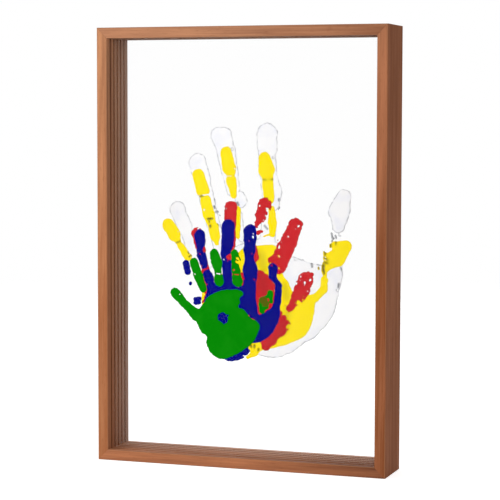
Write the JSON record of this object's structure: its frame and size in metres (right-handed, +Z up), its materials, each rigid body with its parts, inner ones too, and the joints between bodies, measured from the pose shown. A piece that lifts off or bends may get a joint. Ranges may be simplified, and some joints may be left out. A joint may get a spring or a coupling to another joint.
{
  "type": "handprint frame",
  "caption": "Deep mitred wooden frame, open front and back, holding clear grooved-in panes that each carry a painted handprint; the top rail lifts off so that the panes slide out.",
  "frame": {"origin": "middle of the underside, on the surface that the frame stands on", "axes": "+Z up the stiles, +X to the viewer's right, -Y towards the viewer, out of the front"},
  "size_m": [0.224, 0.042, 0.325],
  "materials": {
    "stained_wood": "reddish brown stain, satin",
    "beech_key": "raw",
    "pin_steel": "turned",
    "magnet_plating": "nickel plated",
    "clear_acrylic": "polished",
    "green_paint": "dried paint",
    "blue_paint": "dried paint",
    "red_paint": "dried paint",
    "yellow_paint": "dried paint",
    "white_paint": "dried paint"
  },
  "bodies": {
    "frame": {"bottom_rail": "stained_wood", "left_stile": "stained_wood", "right_stile": "stained_wood", "mitre_key_left": "beech_key", "mitre_key_right": "beech_key", "locating_pins_left": "pin_steel", "locating_pins_right": "pin_steel", "stile_magnets_left": "magnet_plating", "stile_magnets_right": "magnet_plating"},
    "top_rail": {"top_rail": "stained_wood", "top_rail_magnets_left": "magnet_plating", "top_rail_magnets_right": "magnet_plating"},
    "pane_1": {"pane_1": "clear_acrylic", "handprint_1_green": "green_paint"},
    "pane_2": {"pane_2": "clear_acrylic", "handprint_2_blue": "blue_paint"},
    "pane_3": {"pane_3": "clear_acrylic", "handprint_3_red": "red_paint"},
    "pane_4": {"pane_4": "clear_acrylic", "handprint_4_yellow": "yellow_paint"},
    "pane_5": {"pane_5": "clear_acrylic", "handprint_5_white": "white_paint"}
  },
  "joints": [
    {"name": "top_rail_lift", "type": "slide", "parent": "frame", "child": "top_rail", "axis": [0, 0, 1], "range_m": [0, 0.36]},
    {"name": "pane_1_lift", "type": "slide", "parent": "frame", "child": "pane_1", "axis": [0, 0, 1], "range_m": [0, 0.321]},
    {"name": "pane_2_lift", "type": "slide", "parent": "frame", "child": "pane_2", "axis": [0, 0, 1], "range_m": [0, 0.321]},
    {"name": "pane_3_lift", "type": "slide", "parent": "frame", "child": "pane_3", "axis": [0, 0, 1], "range_m": [0, 0.321]},
    {"name": "pane_4_lift", "type": "slide", "parent": "frame", "child": "pane_4", "axis": [0, 0, 1], "range_m": [0, 0.321]},
    {"name": "pane_5_lift", "type": "slide", "parent": "frame", "child": "pane_5", "axis": [0, 0, 1], "range_m": [0, 0.321]}
  ],
  "couplings": [
    {"joint": "pane_1_lift", "follows": "top_rail_lift", "ratio": 0.55},
    {"joint": "pane_2_lift", "follows": "top_rail_lift", "ratio": 0.635},
    {"joint": "pane_3_lift", "follows": "top_rail_lift", "ratio": 0.72},
    {"joint": "pane_4_lift", "follows": "top_rail_lift", "ratio": 0.805},
    {"joint": "pane_5_lift", "follows": "top_rail_lift", "ratio": 0.89}
  ]
}
